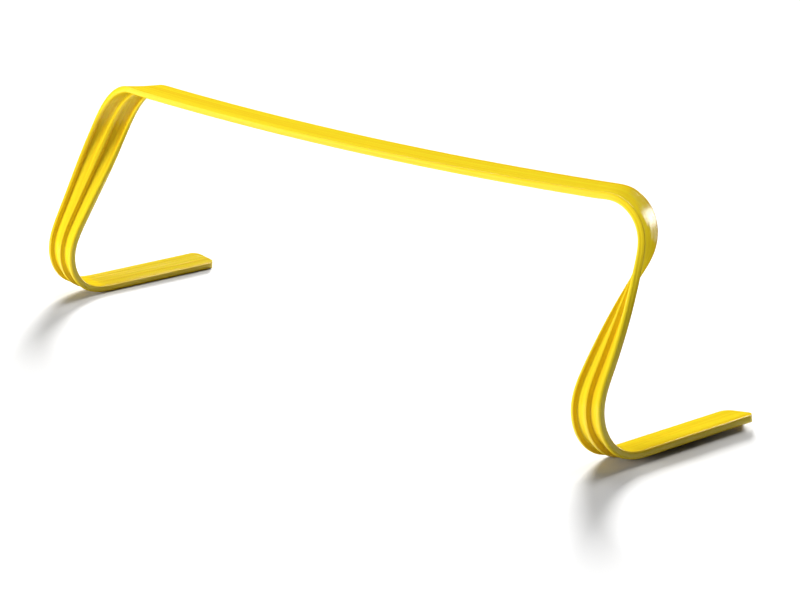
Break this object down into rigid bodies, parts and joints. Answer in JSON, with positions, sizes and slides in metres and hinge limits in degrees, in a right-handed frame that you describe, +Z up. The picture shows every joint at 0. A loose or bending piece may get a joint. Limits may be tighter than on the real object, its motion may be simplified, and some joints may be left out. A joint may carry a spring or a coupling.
{
  "type": "speed hurdle",
  "caption": "Low training hurdle: a springy ribbed plastic strip bent into an arch, its legs twisting into feet that lie along the floor.",
  "frame": {"origin": "on the floor, in the middle of the area the hurdle covers, below the crossbar's middle and a little behind it", "axes": "+X along the crossbar to the right, +Y back along the feet, +Z up"},
  "size_m": [0.5514, 0.1357, 0.1524],
  "materials": {
    "strip_plastic": "bright yellow extruded plastic, satin to semi-gloss"
  },
  "bodies": {
    "crossbar": {"crossbar": "strip_plastic"},
    "left_leg": {"left_shoulder_bend": "strip_plastic", "left_leg": "strip_plastic"},
    "right_leg": {"right_shoulder_bend": "strip_plastic", "right_leg": "strip_plastic"},
    "left_foot": {"left_heel_bend": "strip_plastic", "left_foot": "strip_plastic"},
    "right_foot": {"right_heel_bend": "strip_plastic", "right_foot": "strip_plastic"}
  },
  "joints": [
    {"name": "left_shoulder_flex", "type": "hinge", "parent": "crossbar", "child": "left_leg", "pos_m": [-0.24575, -0.01165, 0.13664], "axis": [-0.1466, -0.9186, 0.367], "range_deg": [-12, 20], "stiffness_Nm_per_rad": 2.7, "deforming": ["left_shoulder_bend"]},
    {"name": "right_shoulder_flex", "type": "hinge", "parent": "crossbar", "child": "right_leg", "pos_m": [0.24575, -0.01165, 0.13664], "axis": [-0.1466, 0.9186, -0.367], "range_deg": [-12, 20], "stiffness_Nm_per_rad": 2.7, "deforming": ["right_shoulder_bend"]},
    {"name": "left_heel_flex", "type": "hinge", "parent": "left_leg", "child": "left_foot", "pos_m": [-0.26118, -0.05297, 0.02375], "axis": [0.996, 0.0315, -0.0839], "range_deg": [-20, 25], "stiffness_Nm_per_rad": 2.1, "deforming": ["left_heel_bend"]},
    {"name": "right_heel_flex", "type": "hinge", "parent": "right_leg", "child": "right_foot", "pos_m": [0.26118, -0.05297, 0.02375], "axis": [0.996, -0.0315, 0.0839], "range_deg": [-20, 25], "stiffness_Nm_per_rad": 2.1, "deforming": ["right_heel_bend"]}
  ]
}
